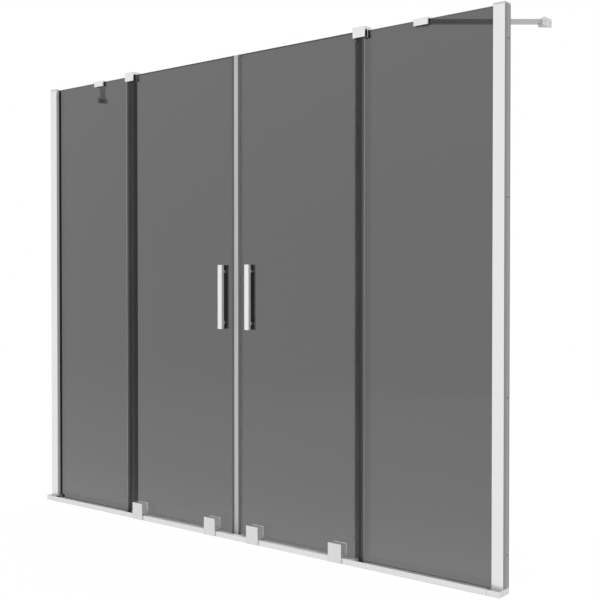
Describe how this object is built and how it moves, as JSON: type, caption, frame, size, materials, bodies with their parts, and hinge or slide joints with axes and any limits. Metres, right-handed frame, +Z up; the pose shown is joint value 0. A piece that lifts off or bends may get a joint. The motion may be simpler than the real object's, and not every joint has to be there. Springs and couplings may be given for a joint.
{
  "type": "sliding bath screen",
  "caption": "Sliding bath screen with tinted glass between wall profiles: fixed side panels, and middle doors with bar handles that part on rollers in a bottom track.",
  "frame": {"origin": "On the underside of the bottom track, where the two doors meet, straight under the middle of the thickness of the fixed glass.", "axes": "+X runs along the screen to the right, seen from outside the bath; +Y runs back over the bath; +Z is up."},
  "size_m": [1.85, 0.287, 1.5085],
  "materials": {
    "tinted_glass": "smooth toughened glass with a neutral grey tint",
    "aluminium": "bright anodised extrusion",
    "chrome": "polished chrome plate",
    "carrier_metal": "satin chrome plate on a die casting",
    "grey_moulding": "light grey moulding, glossy",
    "black_rubber": "matt black extruded rubber",
    "dark_seal": "smoke-grey translucent soft seal",
    "clear_seal": "frosted clear seal",
    "soft_clear_seal": "clear soft seal",
    "grey_rubber": "grey extruded rubber",
    "black_nylon": "black nylon",
    "magnet_rubber": "flexible magnet strip",
    "white_nylon": "white nylon",
    "steel": "stainless steel"
  },
  "bodies": {
    "frame": {"bottom_track": "aluminium", "track_end_left": "grey_moulding", "track_end_right": "grey_moulding", "sill_insert": "aluminium", "wall_channel_left": "aluminium", "wall_channel_right": "aluminium", "profile_cover_left": "aluminium", "profile_cover_right": "aluminium", "profile_caps": "grey_moulding", "fixed_glass_left": "tinted_glass", "fixed_glass_right": "tinted_glass", "wall_gaskets": "black_rubber", "sill_gaskets": "grey_rubber", "overlap_seals": "dark_seal", "top_guide_left": "chrome", "top_guide_right": "chrome", "guide_liners": "black_nylon", "clamp_pads": "black_rubber", "grub_screws": "steel", "bar_clamp_left": "chrome", "bar_clamp_right": "chrome", "support_bar_left": "chrome", "support_bar_right": "chrome", "wall_bracket_left": "chrome", "wall_bracket_right": "chrome", "wall_plates": "chrome"},
    "left_door": {"door_glass_left": "tinted_glass", "outer_handle_left": "chrome", "inner_handle_left": "chrome", "handle_posts_left": "chrome", "handle_studs_left": "steel", "handle_bushes_left": "white_nylon", "magnetic_seal_left": "clear_seal", "magnet_strip_left": "magnet_rubber", "edge_seal_left": "dark_seal", "drip_seal_left": "soft_clear_seal", "roller_carriers_left": "carrier_metal", "carrier_screws_left": "steel", "roller_axles_left": "steel"},
    "right_door": {"door_glass_right": "tinted_glass", "outer_handle_right": "chrome", "inner_handle_right": "chrome", "handle_posts_right": "chrome", "handle_studs_right": "steel", "handle_bushes_right": "white_nylon", "magnetic_seal_right": "clear_seal", "magnet_strip_right": "magnet_rubber", "edge_seal_right": "dark_seal", "drip_seal_right": "soft_clear_seal", "roller_carriers_right": "carrier_metal", "carrier_screws_right": "steel", "roller_axles_right": "steel"},
    "roller_left_outer": {"roller_left_outer": "white_nylon", "bearing_left_outer": "steel"},
    "roller_left_inner": {"roller_left_inner": "white_nylon", "bearing_left_inner": "steel"},
    "roller_right_inner": {"roller_right_inner": "white_nylon", "bearing_right_inner": "steel"},
    "roller_right_outer": {"roller_right_outer": "white_nylon", "bearing_right_outer": "steel"}
  },
  "joints": [
    {"name": "left_door_slide", "type": "slide", "parent": "frame", "child": "left_door", "axis": [-1, 0, 0], "range_m": [0, 0.374]},
    {"name": "right_door_slide", "type": "slide", "parent": "frame", "child": "right_door", "axis": [1, 0, 0], "range_m": [0, 0.374]},
    {"name": "roller_left_outer_turn", "type": "hinge", "parent": "left_door", "child": "roller_left_outer", "pos_m": [-0.42775, -0.03075, 0.0238], "axis": [0, 1, 0], "continuous": true},
    {"name": "roller_left_inner_turn", "type": "hinge", "parent": "left_door", "child": "roller_left_inner", "pos_m": [-0.09025, -0.03075, 0.0238], "axis": [0, 1, 0], "continuous": true},
    {"name": "roller_right_inner_turn", "type": "hinge", "parent": "right_door", "child": "roller_right_inner", "pos_m": [0.09025, -0.03075, 0.0238], "axis": [0, 1, 0], "continuous": true},
    {"name": "roller_right_outer_turn", "type": "hinge", "parent": "right_door", "child": "roller_right_outer", "pos_m": [0.40575, -0.03075, 0.0238], "axis": [0, 1, 0], "continuous": true}
  ],
  "couplings": [
    {"joint": "roller_left_outer_turn", "follows": "left_door_slide", "rad_per_m": -71.429},
    {"joint": "roller_left_inner_turn", "follows": "left_door_slide", "rad_per_m": -71.429},
    {"joint": "roller_right_inner_turn", "follows": "right_door_slide", "rad_per_m": 71.429},
    {"joint": "roller_right_outer_turn", "follows": "right_door_slide", "rad_per_m": 71.429}
  ]
}
